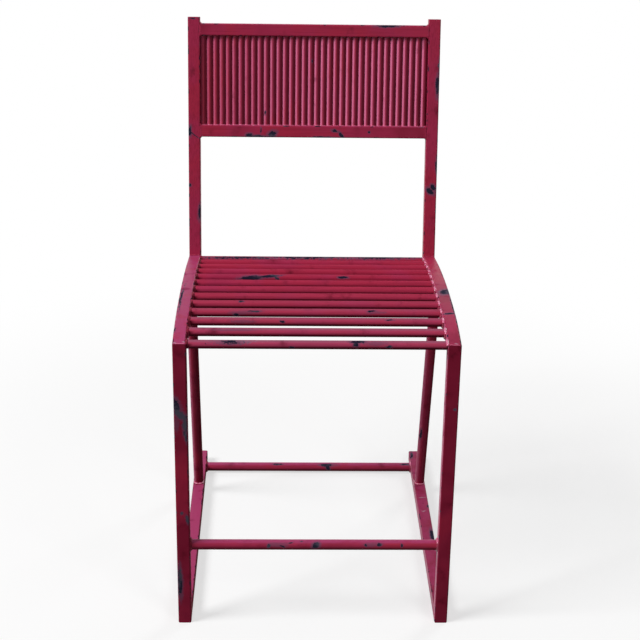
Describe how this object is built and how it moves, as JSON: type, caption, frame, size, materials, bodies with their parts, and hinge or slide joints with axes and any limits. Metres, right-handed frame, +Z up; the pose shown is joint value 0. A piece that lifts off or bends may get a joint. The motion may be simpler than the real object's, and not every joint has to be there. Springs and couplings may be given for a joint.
{
  "type": "metal dining chair",
  "caption": "Welded steel dining chair with square-tube side frames on floor runners, an arched seat of round cross tubes and a raked back of close upright rods.",
  "frame": {"origin": "on the floor, at the middle of the chair's footprint (bottom centre of its bounding box)", "axes": "+Z up, +Y towards the back of the chair, +X across it to the viewer's right when the chair faces the viewer"},
  "size_m": [0.42, 0.544, 0.846],
  "materials": {
    "frame_paint": "semi-gloss crimson paint, worn through to a dark undercoat in places"
  },
  "bodies": {
    "root": {"back_bottom_rail": "frame_paint", "back_post_left": "frame_paint", "back_post_right": "frame_paint", "back_rods_01": "frame_paint", "back_rods_02": "frame_paint", "back_rods_03": "frame_paint", "back_rods_04": "frame_paint", "back_rods_05": "frame_paint", "back_rods_06": "frame_paint", "back_rods_07": "frame_paint", "back_rods_08": "frame_paint", "back_rods_09": "frame_paint", "back_rods_10": "frame_paint", "back_rods_11": "frame_paint", "back_rods_12": "frame_paint", "back_rods_13": "frame_paint", "back_rods_14": "frame_paint", "back_rods_15": "frame_paint", "back_rods_16": "frame_paint", "back_rods_17": "frame_paint", "back_rods_18": "frame_paint", "back_top_rail": "frame_paint", "floor_runner_left": "frame_paint", "floor_runner_right": "frame_paint", "front_leg_left": "frame_paint", "front_leg_right": "frame_paint", "front_rung": "frame_paint", "post_foot_cap_left": "frame_paint", "post_foot_cap_right": "frame_paint", "post_top_cap_left": "frame_paint", "post_top_cap_right": "frame_paint", "rear_leg_left": "frame_paint", "rear_leg_right": "frame_paint", "rear_rung": "frame_paint", "runner_cap_left": "frame_paint", "runner_cap_right": "frame_paint", "seat_tube_01": "frame_paint", "seat_tube_02": "frame_paint", "seat_tube_03": "frame_paint", "seat_tube_04": "frame_paint", "seat_tube_05": "frame_paint", "seat_tube_06": "frame_paint", "seat_tube_07": "frame_paint", "seat_tube_08": "frame_paint", "seat_tube_09": "frame_paint", "seat_tube_10": "frame_paint", "seat_tube_11": "frame_paint", "seat_tube_12": "frame_paint", "seat_tube_13": "frame_paint", "side_rail_left": "frame_paint", "side_rail_right": "frame_paint"}
  },
  "joints": []
}
